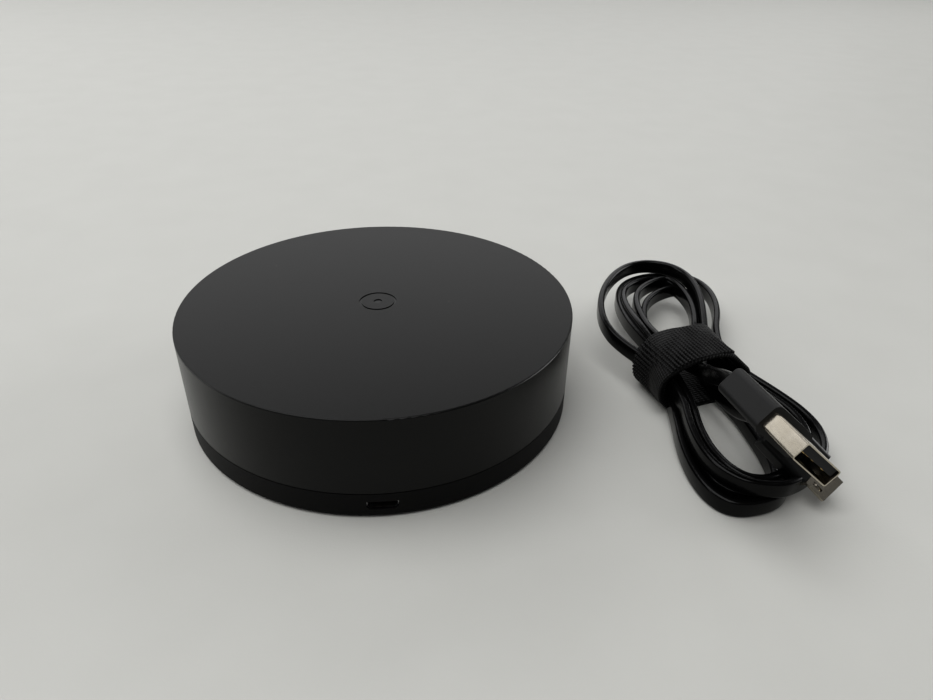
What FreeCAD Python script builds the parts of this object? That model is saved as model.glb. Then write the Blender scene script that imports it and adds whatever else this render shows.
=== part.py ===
import FreeCAD, Part
import math
import os

from FreeCAD import Matrix, Placement, Vector

# A round table-top infrared hub with its detached USB supply cable. Millimetres, +Z up.
# The origin is the centre of the hub's foot, on the surface it stands on; its USB port faces -Y.

# ---- driving dimensions of the hub ----
body_diameter = 105.0
body_height = 28.2
foot_stand = 0.5          # how far the foot pad stands below the base
foot_thickness = 1.0
foot_margin = 5.5         # foot pad's edge in from the base's edge
base_ring_height = 6.65   # underside of the base to the seam
seam_gap = 0.25           # shadow gap between the base ring and the top shell
shell_wall = 2.2
shell_top = 2.2
floor_thickness = 1.8
lip_wall = 1.4
lip_rise = 2.4            # how far the base's lip reaches up inside the shell
edge_radius = 0.35        # top edge of the shell
edge_break = 0.4          # lower edge of the base

# ---- clearances and fits ----
lip_clearance = 0.15      # lip to shell, on the radius
pad_clearance = 0.15      # foot pad in its recess, on the radius
screw_hole_clearance = 0.2
thread_clearance = 0.01   # screw core in its pilot hole
board_gap = 0.5           # board edge to the base's inner wall
port_clearance = 0.15     # port opening around the socket's mouth
plunger_clearance = 0.06
piece_gap = 0.3           # between pieces that lie loose on each other

# ---- fasteners ----
case_screw_count = 4
case_post_inset = 5.05    # screw posts in from the base's lip
case_screw_core = 2.3
case_screw_length = 10.0
case_head_diameter = 4.6
case_head_height = 1.6
boss_diameter = 6.4
boss_web = 1.4
board_screw_count = 3
board_screw_inset = 5.0   # board screws in from the board's edge
board_screw_core = 1.8
board_screw_length = 3.6
board_head_diameter = 3.8
board_head_height = 1.2
recess_arm = 0.55         # cross recess in a screw head: length, width and depth
recess_width = 0.14       # as shares of the head's diameter and height
recess_depth = 0.4
case_seat_rise = 2.9      # case screws' bearing face above the base's underside
post_wall = 1.6           # board posts' wall round their screw
pilot_spare = 0.4         # free depth under a board screw's tip
boss_spare = 1.0          # free depth over a case screw's tip
join = 0.5                # how far fused pieces reach into each other

# ---- main board ----
board_post_gap = 1.3      # board's edge to the screw posts
board_thickness = 1.2
board_rise = 2.7          # height of the board above the floor
tongue_width = 12.0

# ---- USB micro-B socket, standard sizes ----
socket_width = 7.0        # inside of the metal shell
socket_height = 2.0
socket_metal = 0.25
socket_depth = 5.0
socket_skin = 0.65        # plastic left in front of the socket
blade_width = 3.9
blade_thickness = 0.6

# ---- reset switch ----
switch_size = 4.6
switch_height = 1.7
switch_x = 14.0
switch_y = -20.0
plunger_diameter = 2.0
plunger_flange = 3.2
plunger_out = 0.5
pinhole_diameter = 1.6

# ---- infrared emitters ----
emitter_count = 6
emitter_body = 5.0
emitter_length = 8.6
emitter_flange = 5.8
emitter_rise = 6.0
emitter_inset = 0.4       # emitter tips in from the board's edge

# ---- engraved mark: a ring and a dot ----
mark_diameter = 10.0
mark_line = 0.6
mark_dot = 2.2
mark_depth = 0.2

# ---- levels worked out from the above ----
base_bottom = foot_stand
floor_top = base_bottom + floor_thickness
recess_top = foot_thickness
seam_low = base_bottom + base_ring_height
seam_high = seam_low + seam_gap
body_radius = body_diameter / 2
shell_inner = body_radius - shell_wall
lip_outer = shell_inner - lip_clearance
lip_inner = lip_outer - lip_wall
ceiling = body_height - shell_top
foot_diameter = body_diameter - 2 * foot_margin
case_screw_circle = 2 * (lip_inner - case_post_inset) - boss_diameter
board_diameter = case_screw_circle - boss_diameter - 2 * board_post_gap
board_screw_circle = board_diameter - 2 * board_screw_inset
emitter_circle = board_diameter - 2 * (emitter_length + emitter_inset)
post_plane = (seam_low + seam_high) / 2
board_bottom = floor_top + board_rise
board_top = board_bottom + board_thickness


def cylinder(diameter, low, high, x=0.0, y=0.0):
    return Part.makeCylinder(diameter / 2, high - low, Vector(x, y, low))


def block(x_size, y_size, low, high, x=0.0, y=0.0):
    corner = Vector(x - x_size / 2, y - y_size / 2, low)
    return Part.makeBox(x_size, y_size, high - low, corner)


def on_circle(diameter, count, first_angle):
    for k in range(count):
        angle = math.radians(first_angle + 360.0 * k / count)
        yield diameter / 2 * math.cos(angle), diameter / 2 * math.sin(angle), angle


def turned(shape, angle, x=0.0, y=0.0):
    copy = shape.copy()
    copy.rotate(Vector(0, 0, 0), Vector(0, 0, 1), math.degrees(angle))
    copy.translate(Vector(x, y, 0))
    return copy


def joined(shapes):
    shapes = list(shapes)
    return shapes[0].multiFuse(shapes[1:]).removeSplitter() if len(shapes) > 1 else shapes[0]


def edges_at(shape, level, radius):
    near = []
    for edge in shape.Edges:
        ring = edge.Curve
        round_edge = isinstance(ring, Part.Circle)
        if round_edge and abs(ring.Radius - radius) < 0.01 and abs(ring.Center.z - level) < 0.01:
            near.append(edge)
    return near


def prism(points, depth, axis):
    wire = Part.makePolygon(points + points[:1])
    return Part.Face(wire).extrude(axis * depth)


def save(name, shape):
    shape.exportStep("parts/" + name + ".step")


os.makedirs("parts", exist_ok=True)

# ---- foot pad: a thin rubber disc let into the underside, over the case screws ----
foot_pad = cylinder(foot_diameter, 0, foot_thickness)
foot_pad = foot_pad.cut(cylinder(pinhole_diameter, -1, foot_thickness + 1, switch_x, switch_y))
save("foot_pad", foot_pad)

# ---- USB socket outlines: wide side up, lower corners bevelled ----
bevel_share = 0.36        # of the opening's height, on both sides of a lower corner


def usb_outline(width, height, x_axis, y_axis, centre):
    half, side = width / 2, height / 2
    bevel = bevel_share * height
    corners = [(-half, side), (half, side), (half, bevel - side), (half - bevel, -side),
               (bevel - half, -side), (-half, bevel - side)]
    return [centre + x_axis * u + y_axis * v for u, v in corners]


X, Y, Z = Vector(1, 0, 0), Vector(0, 1, 0), Vector(0, 0, 1)
socket_outer_height = socket_height + 2 * socket_metal
socket_outer_width = socket_width + 2 * socket_metal
socket_z = board_bottom - socket_outer_height / 2
socket_front = -(body_radius - socket_skin)
socket_back = socket_front + socket_depth


def socket_bar(width, height, front, back):
    outline = usb_outline(width, height, X, Z, Vector(0, front, socket_z))
    return prism(outline, back - front, Y)


# ---- base housing: floor, ring, lip, screw posts and board posts, with the port opening ----
base = cylinder(body_diameter, base_bottom, seam_low)
base = base.makeChamfer(edge_break, edges_at(base, base_bottom, body_radius))
base = base.fuse(cylinder(2 * lip_outer, floor_top, seam_low + lip_rise))
base = base.cut(cylinder(2 * lip_inner, floor_top, body_height))
base = base.cut(cylinder(foot_diameter + 2 * pad_clearance, 0, recess_top))
case_seat = base_bottom + case_seat_rise
head_hole = case_head_diameter + 2 * screw_hole_clearance
posts, cuts = [], []
for x, y, angle in on_circle(case_screw_circle, case_screw_count, 45):
    posts.append(cylinder(boss_diameter, floor_top - join, post_plane, x, y))
    cuts.append(cylinder(head_hole, 0, case_seat, x, y))
    cuts.append(cylinder(case_screw_core + 2 * screw_hole_clearance, 0, body_height, x, y))
for x, y, angle in on_circle(board_screw_circle, board_screw_count, 60):
    posts.append(cylinder(board_screw_core + 2 * post_wall, floor_top - join, board_bottom, x, y))
    pilot_low = board_top - board_screw_length - pilot_spare
    cuts.append(cylinder(board_screw_core + 2 * thread_clearance, pilot_low, body_height, x, y))
cuts.append(cylinder(pinhole_diameter, 0, floor_top + 1, switch_x, switch_y))
pocket_width = socket_outer_width + 2 * port_clearance
pocket_back = -(lip_inner - board_gap)
pocket_low = socket_z - socket_outer_height / 2 - port_clearance
pocket = Part.makeBox(pocket_width, pocket_back - socket_front + port_clearance,
                      board_top + port_clearance - pocket_low,
                      Vector(-pocket_width / 2, socket_front - port_clearance, pocket_low))
opening = socket_bar(socket_width + 2 * port_clearance, socket_height + 2 * port_clearance,
                     -body_radius - 1, socket_front + 1)
base_housing = joined([base] + posts)
for tool in cuts + [pocket, opening]:
    base_housing = base_housing.cut(tool)
save("base_housing", base_housing.removeSplitter())

# ---- top housing: one moulded cup with four hollow screw bosses and their webs ----
cup = cylinder(body_diameter, seam_high, body_height)
cup = cup.makeFillet(edge_radius, edges_at(cup, body_height, body_radius))
cup = cup.cut(cylinder(2 * shell_inner, seam_high - 1, ceiling))
bosses, pilots = [], []
lip_end = seam_low + lip_rise + piece_gap
for x, y, angle in on_circle(case_screw_circle, case_screw_count, 45):
    bosses.append(cylinder(boss_diameter, post_plane, ceiling + join, x, y))
    reach = shell_inner + join - case_screw_circle / 2
    web = Part.makeBox(reach, boss_web, ceiling + join - lip_end, Vector(0, -boss_web / 2, lip_end))
    bosses.append(turned(web, angle, x, y))
    pilot_top = case_seat + case_screw_length + boss_spare
    pilots.append(cylinder(case_screw_core + 2 * thread_clearance, 0, pilot_top, x, y))
top_housing = joined([cup] + bosses)
for tool in pilots:
    top_housing = top_housing.cut(tool)
mark_low = body_height - mark_depth
mark = cylinder(mark_diameter, mark_low, body_height + 1)
mark = mark.cut(cylinder(mark_diameter - 2 * mark_line, mark_low, body_height + 1))
mark = mark.fuse(cylinder(mark_dot, mark_low, body_height + 1))
save("top_housing", top_housing.cut(mark))


# ---- screws: pan head with a cross recess, driven upwards or downwards ----
def screw(core, length, head_diameter, head_height, x, y, seat, up):
    way = 1 if up else -1
    shank = Part.makeCylinder(core / 2, length, Vector(x, y, seat), Vector(0, 0, way))
    head = Part.makeCylinder(head_diameter / 2, head_height, Vector(x, y, seat), Vector(0, 0, -way))
    bottom, outside = head_height * (1 - recess_depth), head_height + 1
    low, high = sorted([seat - way * bottom, seat - way * outside])
    arm, width = head_diameter * recess_arm, head_diameter * recess_width
    slot = block(arm, width, low, high, x, y)
    cross = block(width, arm, low, high, x, y)
    return shank.fuse(head).removeSplitter().cut(slot.fuse(cross))


case_screws = [screw(case_screw_core, case_screw_length, case_head_diameter, case_head_height,
                     x, y, case_seat, True)
               for x, y, angle in on_circle(case_screw_circle, case_screw_count, 45)]
save("case_screws", Part.makeCompound(case_screws))
board_screws = [screw(board_screw_core, board_screw_length, board_head_diameter,
                      board_head_height, x, y, board_top, False)
                for x, y, angle in on_circle(board_screw_circle, board_screw_count, 60)]
save("board_screws", Part.makeCompound(board_screws))

# ---- main board: round, with a tongue that carries the USB socket on its underside ----
tongue_front = -(lip_inner - board_gap)
board = cylinder(board_diameter, board_bottom, board_top)
tongue = Part.makeBox(tongue_width, -tongue_front, board_thickness,
                      Vector(-tongue_width / 2, tongue_front, board_bottom))
front_trim = cylinder(2 * (lip_inner - board_gap), board_bottom, board_top)
main_board = board.fuse(tongue.common(front_trim)).removeSplitter()
for x, y, angle in on_circle(board_screw_circle, board_screw_count, 60):
    hole = board_screw_core + 2 * screw_hole_clearance
    main_board = main_board.cut(cylinder(hole, board_bottom - 1, board_top + 1, x, y))
save("main_board", main_board)

# ---- USB socket: steel shell, insulator with its blade, five contacts ----
socket_shell = socket_bar(socket_outer_width, socket_outer_height, socket_front, socket_back)
cavity = socket_bar(socket_width, socket_height, socket_front - 1, socket_back)
socket_shell = socket_shell.cut(cavity)
save("usb_socket_shell", socket_shell)
heel_depth = 1.0
blade_setback = 0.5       # blade's front edge behind the shell's mouth
blade_low = socket_z + 0.05
plug_of_plastic = socket_bar(socket_width, socket_height, socket_back - heel_depth, socket_back)
blade = Part.makeBox(blade_width, socket_depth - heel_depth - blade_setback, blade_thickness,
                     Vector(-blade_width / 2, socket_front + blade_setback, blade_low))
save("usb_socket_insulator", plug_of_plastic.fuse(blade).removeSplitter())
contact_pitch = 0.65
contact_width = 0.3
contact_metal = 0.1
contact_setback = 0.8
contact_length = socket_depth - heel_depth - contact_setback
strips = [Part.makeBox(contact_width, contact_length, contact_metal,
                       Vector((k - 2) * contact_pitch - contact_width / 2,
                              socket_front + contact_setback, blade_low - contact_metal))
          for k in range(5)]
save("usb_socket_contacts", Part.makeCompound(strips))

# ---- reset switch: a housing under the board, a dome and a plunger above the pinhole ----
switch_low = board_bottom - switch_height
case_wall = 0.4
dome_metal = 0.1
flange_side = 0.2         # free space round the plunger's flange
flange_gap = 0.02
flange_thickness = 0.3
switch_top = board_bottom - case_wall
plunger_hole = plunger_diameter + 2 * plunger_clearance
well = cylinder(plunger_flange + 2 * flange_side, switch_low + case_wall, switch_top, switch_x, switch_y)
switch_body = block(switch_size, switch_size, switch_low, board_bottom, switch_x, switch_y)
switch_body = switch_body.cut(well)
switch_body = switch_body.cut(
    cylinder(plunger_hole, switch_low - 1, switch_low + case_wall + 1, switch_x, switch_y))
save("reset_switch_body", switch_body)
dome = cylinder(plunger_flange, switch_top - dome_metal, switch_top, switch_x, switch_y)
save("reset_switch_dome", dome)
flange_low = switch_low + case_wall + flange_gap
flange_top = flange_low + flange_thickness
stem = cylinder(plunger_diameter, switch_low - plunger_out, flange_top, switch_x, switch_y)
flange = cylinder(plunger_flange, flange_low, flange_top, switch_x, switch_y)
save("reset_plunger", stem.fuse(flange).removeSplitter())


# ---- infrared emitters: clear-tip diodes on bent legs, six outwards and one upwards ----
leg_pitch = 2.54
leg_size = 0.5
leg_bend = 2.5            # from the collar back to the leg's bend


def emitter(bend_back):
    barrel = emitter_length - emitter_body / 2
    body = Part.makeCylinder(emitter_body / 2, barrel, Vector(0, 0, 0), X)
    tip = Part.makeSphere(emitter_body / 2, Vector(barrel, 0, 0))
    collar = Part.makeCylinder(emitter_flange / 2, 1.0, Vector(0, 0, 0), X)
    pieces = [body, tip, collar]
    for side in (-leg_pitch / 2, leg_pitch / 2):
        left = side - leg_size / 2
        pieces.append(Part.makeBox(bend_back, leg_size, leg_size,
                                   Vector(-bend_back, left, -leg_size / 2)))
        if bend_back < emitter_rise:
            foot = Vector(-bend_back, left, -emitter_rise)
            pieces.append(Part.makeBox(leg_size, leg_size, emitter_rise + leg_size / 2, foot))
    return joined(pieces)


for number, (x, y, angle) in enumerate(on_circle(emitter_circle, emitter_count, 30), start=1):
    diode = turned(emitter(leg_bend), angle, x, y)
    diode.translate(Vector(0, 0, board_top + emitter_rise))
    save("ir_emitter_%d" % number, diode)
top_diode = emitter(emitter_rise)
top_diode.rotate(Vector(0, 0, 0), Y, -90)
top_diode.translate(Vector(0, 0, board_top + emitter_rise))
save("ir_emitter_top", top_diode)

# ---- other parts soldered on the board's upper side, each (x, y) size, height and place ----
def soldered(size, height, place, low=board_top):
    return block(size[0], size[1], low, low + height, place[0], place[1])


receiver_size, receiver_height, receiver_place = (6.0, 4.0), 7.0, (0.0, -14.0)
receiver_lens, lens_rise = 4.0, 4.6
lens_centre = Vector(0, receiver_place[1] - receiver_size[1] / 2, board_top + lens_rise)
lens = Part.makeSphere(receiver_lens / 2, lens_centre)
ir_receiver = soldered(receiver_size, receiver_height, receiver_place)
save("ir_receiver", ir_receiver.fuse(lens).removeSplitter())

module_size, module_board, module_place = (13.0, 16.0), 0.8, (-9.0, 8.0)
module_top = board_top + module_board
save("wifi_module_board", soldered(module_size, module_board, module_place))
can_size, can_height, can_metal = (11.0, 10.0), 1.8, 0.2
can_place = (module_place[0], module_place[1] - 2.2)
can_inside = (can_size[0] - 2 * can_metal, can_size[1] - 2 * can_metal)
shield_can = soldered(can_size, can_height, can_place, module_top)
save("wifi_shield_can", shield_can.cut(
    soldered(can_inside, can_height - can_metal, can_place, module_top)))

trace_bars, trace_pitch, trace_rise, trace_width, trace_metal = 7, 1.6, 3.0, 0.5, 0.1
trace_y = module_place[1] + 5.6
turn_y = (trace_rise - trace_width) / 2      # the zigzag's turns, above and below its middle
trace = []
for k in range(trace_bars):
    bar_x = module_place[0] + (k - (trace_bars - 1) / 2) * trace_pitch
    trace.append(soldered((trace_width, trace_rise), trace_metal, (bar_x, trace_y), module_top))
    if k < trace_bars - 1:
        turn = trace_y + (turn_y if k % 2 else -turn_y)
        link_place = (bar_x + trace_pitch / 2, turn)
        trace.append(soldered((trace_pitch, trace_width), trace_metal, link_place, module_top))
save("wifi_antenna", joined(trace))

chip_size, chip_height, chip_place = 7.0, 0.9, (9.0, 9.0)
pin_mark, pin_mark_inset, pin_mark_depth = 0.9, 1.1, 0.1
mark_x = chip_place[0] - chip_size / 2 + pin_mark_inset
mark_y = chip_place[1] + chip_size / 2 - pin_mark_inset
chip_top = board_top + chip_height
pin_one = cylinder(pin_mark, chip_top - pin_mark_depth, chip_top + 1, mark_x, mark_y)
save("processor_chip", soldered((chip_size, chip_size), chip_height, chip_place).cut(pin_one))
save("crystal", soldered((3.2, 5.0), 1.2, (12.5, 1.0)))

can_base, can_base_height, can_diameter, can_rise = 6.6, 0.8, 6.3, 7.0
cans = []
for place in ((-7.0, -10.0), (-9.5, -18.0)):
    can = cylinder(can_diameter, board_top + can_base_height, board_top + can_rise, *place)
    cans.append(soldered((can_base, can_base), can_base_height, place).fuse(can).removeSplitter())
save("bulk_capacitors", Part.makeCompound(cans))

coil_core = soldered((6.0, 6.0), 3.0, (7.0, -7.0))
upright = [e for e in coil_core.Edges if abs(e.tangentAt(e.FirstParameter).z) > 0.9]
save("power_inductor", coil_core.makeChamfer(0.8, upright))

regulator_size, regulator_height, regulator_x, regulator_y = (6.5, 3.5), 1.6, 14.0, -11.0
lead_metal, lead_pitch = 0.3, 2.3
tab = soldered((3.0, 1.8), lead_metal, (regulator_x, regulator_y + 2.4))
legs = [soldered((0.7, 1.6), lead_metal, (regulator_x + side * lead_pitch, regulator_y - 2.3))
        for side in (-1, 0, 1)]
regulator = soldered(regulator_size, regulator_height, (regulator_x, regulator_y))
save("voltage_regulator", joined([regulator, tab] + legs))

driver_circle, driver_bearings = 37.0, (0, 60, 180, 300)
drivers = []
for bearing in driver_bearings:
    for x, y, angle in on_circle(driver_circle, 1, bearing):
        drivers.append(turned(soldered((1.4, 2.9), 1.0, (0, 0)), angle, x, y))
save("emitter_drivers", Part.makeCompound(drivers))
resistor_inset, resistor_count = 5.0, 12
resistors = [turned(soldered((1.25, 2.0), 0.6, (0, 0)), angle, x, y)
             for x, y, angle in on_circle(board_diameter - resistor_inset, resistor_count, 15)]
save("board_resistors", Part.makeCompound(resistors))
save("status_led", soldered((2.0, 1.25), 0.8, (4.2, tongue_front + 4.0)))

# ---- the detached cable: a flat lead folded into a hank, with a hook-and-loop tie ----
lead_width = 4.6
lead_thickness = 2.0
lead_tube = 2 * math.sqrt(lead_width * lead_thickness / math.pi)     # round, of the same section
hank_low_height = 2 * lead_width + 0.2    # front loops: two strands on edge, one on the other
hank_high_bottom = 3.0    # the back loops ride higher
hank_high_top = 16.5
tie_width = 16.0
tie_thickness = 1.4
tie_skew = 15.0
tie_centre = Vector(88.5, -9.0, 0)
waist_length = 24.0


def egg(centre_a, radius_a, centre_b, radius_b, low, high):
    # Two discs joined by the two straight lines that touch both.
    run = centre_b.sub(centre_a)
    away = math.atan2(run.y, run.x)
    spread = math.acos((radius_a - radius_b) / run.Length)

    def at(centre, radius, angle):
        return centre + Vector(math.cos(angle), math.sin(angle), 0) * radius

    a1, b1 = at(centre_a, radius_a, away + spread), at(centre_b, radius_b, away + spread)
    a2, b2 = at(centre_a, radius_a, away - spread), at(centre_b, radius_b, away - spread)
    far_a, far_b = at(centre_a, radius_a, away + math.pi), at(centre_b, radius_b, away)
    edges = [Part.Arc(a1, far_a, a2).toShape(), Part.LineSegment(a2, b2).toShape(),
             Part.Arc(b2, far_b, b1).toShape(), Part.LineSegment(b1, a1).toShape()]
    face = Part.Face(Part.Wire(edges))
    face.translate(Vector(0, 0, low))
    return face.extrude(Vector(0, 0, high - low))


def frame_at(origin, x_axis, z_axis):
    # Placement of a local frame whose z is the plug's axis towards its mouth.
    z_axis = Vector(z_axis).normalize()
    x_axis = Vector(x_axis)
    x_axis = (x_axis - z_axis * x_axis.dot(z_axis)).normalize()
    y_axis = z_axis.cross(x_axis)
    rows = Matrix(x_axis.x, y_axis.x, z_axis.x, origin.x,
                  x_axis.y, y_axis.y, z_axis.y, origin.y,
                  x_axis.z, y_axis.z, z_axis.z, origin.z, 0, 0, 0, 1)
    return Placement(rows)


def put(shape, placement):
    copy = shape.copy()
    copy.Placement = placement.multiply(copy.Placement)
    return copy


def rounded_bar(x_size, y_size, low, high, radius):
    bar = block(x_size, y_size, low, high)
    along = [e for e in bar.Edges if abs(e.tangentAt(e.FirstParameter).z) > 0.9]
    return bar.makeFillet(radius, along)


def tube(points, diameter):
    # Straight runs joined by tangent arcs, each as large as its two runs allow.
    points = [Vector(*p) for p in points]
    edges, start = [], points[0]
    for before, corner, after in zip(points, points[1:], points[2:]):
        run_in, run_out = corner - before, after - corner
        turn = run_in.getAngle(run_out)
        short = min(run_in.Length, run_out.Length)
        back = 0.45 * short
        radius = back / math.tan(turn / 2)
        print("lead bend radius %.1f" % radius)
        first = corner - Vector(run_in).normalize() * back
        last = corner + Vector(run_out).normalize() * back
        middle = (first + last) * 0.5
        middle = middle + (corner - middle).normalize() * (radius * (1 - math.cos(turn / 2)))
        edges += [Part.LineSegment(start, first).toShape(), Part.Arc(first, middle, last).toShape()]
        start = last
    edges.append(Part.LineSegment(start, points[-1]).toShape())
    path = Part.Wire(edges)
    ring = Part.Wire(Part.Circle(points[0], points[1] - points[0], diameter / 2).toShape())
    pipe = path.makePipeShell([ring], True, True)
    section = math.pi * diameter ** 2 / 4
    print("lead volume %.1f, section times length %.1f" % (pipe.Volume, section * path.Length))
    return pipe


# ---- hook-and-loop tie around the waist of the hank ----
tie_outline = [(-12.5, 9.0), (-11.0, 15.6), (-3.0, 16.8), (6.5, 15.4), (14.5, 8.5),
               (14.0, 2.5), (11.0, 0.0), (-9.5, 0.0), (-12.2, 3.0)]


def waist_prism(length, inset):
    points = [Vector(u, -length / 2, v) for u, v in tie_outline]
    face = Part.Face(Part.makePolygon(points + points[:1]))
    if inset:
        face = face.makeOffset2D(-inset, 2)
    body = face.extrude(Vector(0, length, 0))
    body.rotate(Vector(0, 0, 0), Z, tie_skew)
    body.translate(tie_centre)
    return body


strap_room = waist_prism(tie_width, 0)
waist = waist_prism(waist_length, tie_thickness)
save("cable_tie", strap_room.cut(waist))

# ---- USB-A plug: its place, then shell, insulator, contacts and overmould ----
usb_a_place = frame_at(Vector(87.3, -71.4, 25.8), Vector(0.6647, 0.102, 0.741),
                       Vector(0.0416, -0.994, 0.099))
usb_a_width = 12.0
usb_a_height = 4.5
usb_a_metal = 0.3
usb_a_bare = 12.0         # metal that stands out of the overmould
usb_a_buried = 5.0
grip_a = (7.4, 13.8, 18.0)     # overmould: thickness, width, length
a_inner_x = usb_a_height - 2 * usb_a_metal
a_inner_y = usb_a_width - 2 * usb_a_metal
a_back = -(usb_a_bare + usb_a_buried)
a_shell = rounded_bar(usb_a_height, usb_a_width, a_back, 0, 0.6)
a_hollow = rounded_bar(a_inner_x, a_inner_y, a_back, 1, 0.3)
window, window_back, window_side = 2.2, 5.5, 2.9
a_windows = [block(usb_a_height * 2, window, -window_back - window / 2, -window_back + window / 2,
                   0, side)
             for side in (-window_side, window_side)]
a_plain = a_shell
a_shell = a_shell.cut(a_hollow)
for cut in a_windows:
    a_shell = a_shell.cut(cut)
save("usb_a_shell", put(a_shell, usb_a_place))
blade_side, blade_from_middle, blade_end = 0.3, 0.1, 0.5
a_heel = -9.0             # where the insulator starts to fill the whole shell
blade_a = Part.makeBox(a_inner_x / 2 - blade_from_middle, a_inner_y - 2 * blade_side,
                       -a_back - blade_end,
                       Vector(blade_from_middle, blade_side - a_inner_y / 2, a_back))
heel_a = rounded_bar(a_inner_x, a_inner_y, a_back, a_heel, 0.3)
save("usb_a_insulator", put(heel_a.fuse(blade_a).removeSplitter(), usb_a_place))
strip_metal, strip_width = 0.15, 1.0
a_strips = []
for side, length in ((-3.5, 7.4), (-1.0, 6.4), (1.0, 6.4), (3.5, 7.4)):
    corner = Vector(blade_from_middle - strip_metal, side - strip_width / 2, a_heel)
    a_strips.append(Part.makeBox(strip_metal, strip_width, length, corner))
save("usb_a_contacts", put(Part.makeCompound(a_strips), usb_a_place))
grip_x, grip_y, grip_length = grip_a
a_rear = -(usb_a_bare + grip_length)
a_grip = rounded_bar(grip_x, grip_y, a_rear, -usb_a_bare, 1.6)
a_grip = a_grip.makeFillet(0.8, [e for e in a_grip.Edges
                                 if abs(e.CenterOfMass.z - a_rear) < 0.01])
save("usb_a_overmould", put(a_grip.cut(a_plain), usb_a_place))

# ---- micro-B plug: its place, then shell, latches, insulator, contacts and overmould ----
micro_place = frame_at(Vector(104.6, -57.9, 4.4), Vector(0.813, 0.409, 0.415),
                       Vector(0.58, -0.64, -0.505))
micro_width = 6.85
micro_height = 1.8
micro_metal = 0.2
micro_bare = 6.3
micro_buried = 4.5
grip_b = (10.4, 6.0, 13.0)     # overmould: width, thickness, length
micro_back = -(micro_bare + micro_buried)
flat_up = micro_place.Rotation.multVec(Y).z
up_sign = 1 if flat_up > 0 else -1


def micro_bar(inset, low, high):
    outline = usb_outline(micro_width - 2 * inset, micro_height - 2 * inset, X, Y * up_sign,
                          Vector(0, 0, low))
    return prism(outline, high - low, Z)


b_plain = micro_bar(0, micro_back, 0)
b_shell = b_plain.cut(micro_bar(micro_metal, micro_back, 1))
latch_x, latch_width, slot_length, slot_centre = 2.1, 0.7, 2.6, -3.1
top_y = up_sign * micro_height / 2
for side in (-latch_x, latch_x):
    b_shell = b_shell.cut(block(latch_width, 1.0, slot_centre - slot_length / 2,
                                slot_centre + slot_length / 2, side, top_y))
save("micro_b_shell", put(b_shell, micro_place))
latches = []
latch_strip, latch_gap, latch_stand, spring_metal = 0.4, 0.02, 0.2, 0.15
spring_top = top_y - up_sign * (micro_metal + latch_gap)
spring_low = spring_top - up_sign * spring_metal
heel_front = -5.6
for side in (-latch_x, latch_x):
    left = side - latch_strip / 2
    hook = [Vector(left, spring_low, heel_front), Vector(left, spring_top, heel_front),
            Vector(left, spring_top, slot_centre - 1.1),
            Vector(left, top_y + up_sign * latch_stand, slot_centre - 0.5),
            Vector(left, spring_low, slot_centre + 1.0)]
    latches.append(prism(hook, latch_strip, X))
save("micro_b_latches", put(Part.makeCompound(latches), micro_place))
heel_b = micro_bar(micro_metal, micro_back, heel_front)
blade_b = block(5.0, 0.5, micro_back, -0.6, 0, -up_sign * 0.45)
save("micro_b_insulator", put(heel_b.fuse(blade_b).removeSplitter(), micro_place))
b_strips = [block(contact_width, 0.1, heel_front, -1.0, (k - 2) * contact_pitch, -up_sign * 0.15)
            for k in range(5)]
save("micro_b_contacts", put(Part.makeCompound(b_strips), micro_place))
grip_bx, grip_by, grip_bl = grip_b
b_rear = -(micro_bare + grip_bl)
b_grip = rounded_bar(grip_bx, grip_by, b_rear, -micro_bare, 1.4)
b_grip = b_grip.makeFillet(0.7, [e for e in b_grip.Edges
                                 if abs(e.CenterOfMass.z - b_rear) < 0.01])
save("micro_b_overmould", put(b_grip.cut(b_plain), micro_place))

# ---- the hank: front loops, back loops and the waist under the tie, as one closed solid ----
low_loop = egg(Vector(93.5, -40.3, 0), 20.3, Vector(88.5, -9, 0), 12.0, 0, hank_low_height)
low_hole = egg(Vector(86.6, -45, 0), 5.2, Vector(87.2, -27, 0), 4.2, -1, 20)
high_loop = egg(Vector(90.5, 28, 0), 24.0, Vector(89.5, -3, 0), 11.0,
                hank_high_bottom, hank_high_top)
high_hole = egg(Vector(93.5, 24, 0), 9.5, Vector(91, 10, 0), 5.0, -1, 20)
above = 14.0              # free height over the micro-B plug, where the hank is cut away for it
room_width = grip_bx + 2 * piece_gap
room_low = grip_by / 2 + piece_gap
b_room = Part.makeBox(room_width, room_low + above, 1 - b_rear + piece_gap,
                      Vector(-room_width / 2, -room_low if up_sign > 0 else -above,
                             b_rear - piece_gap))
loops = low_loop.cut(low_hole).fuse(high_loop.cut(high_hole))
loops = loops.cut(waist_prism(tie_width + 2 * piece_gap, -piece_gap)).cut(put(b_room, micro_place))
hank = loops.fuse(waist).removeSplitter()
print("hank solids", len(hank.Solids), "volume", round(hank.Volume))
save("cable_hank", hank)

# ---- free stretches of the lead, from each plug into the hank, ending at grip and hank ----
usb_a_rear = usb_a_place.multVec(Vector(0, 0, a_rear))
plug_route = [tuple(usb_a_rear), (85.8, -36.4, 22.3), (85.6, -31.0, 19.9), (85.4, -25.9, 16.8),
              (85.2, -21.4, 12.9)]
save("cable_plug_lead", tube(plug_route, lead_tube).cut(hank).cut(put(a_grip, usb_a_place)))
micro_rear = micro_place.multVec(Vector(0, 0, b_rear))
device_route = [tuple(micro_rear), (91.4, -42.6, 15.9), (90.6, -37.6, 16.3), (90.0, -31.9, 15.0),
                (89.6, -26.1, 12.7), (89.3, -20.4, 10.2)]
save("cable_device_lead", tube(device_route, lead_tube).cut(hank).cut(put(b_grip, micro_place)))
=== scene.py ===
import math

import bpy
from mathutils import Matrix, Vector


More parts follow.
